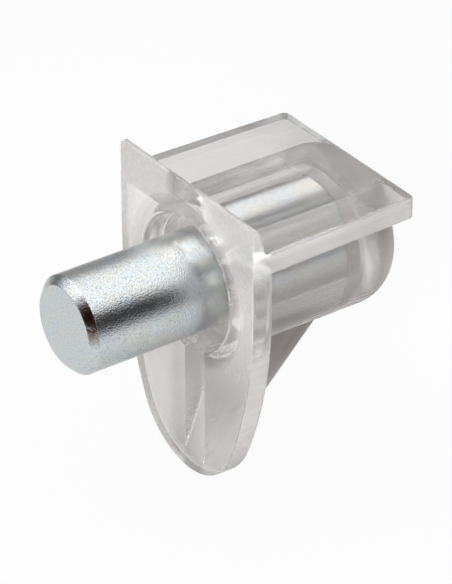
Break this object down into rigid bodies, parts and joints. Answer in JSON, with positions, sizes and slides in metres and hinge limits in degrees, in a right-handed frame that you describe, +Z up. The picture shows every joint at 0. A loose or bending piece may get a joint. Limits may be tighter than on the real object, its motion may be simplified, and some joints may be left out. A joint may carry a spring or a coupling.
{
  "type": "shelf support pin",
  "caption": "Shelf support: a chamfered steel pin pressed into a clear plastic bracket with a tongue-shaped wall plate, a low lip, a flat platform, a round barrel and a fin below it.",
  "frame": {"origin": "on the pin's axis, in the plane of the wall face", "axes": "-Y along the pin into the cabinet side, +Z up, +X across the plate"},
  "size_m": [0.011, 0.0176, 0.0162],
  "materials": {
    "zinc_steel": "zinc plated, satin",
    "clear_plastic": "clear, polished"
  },
  "bodies": {
    "root": {"steel_pin": "zinc_steel", "moulded_bracket": "clear_plastic"}
  },
  "joints": []
}
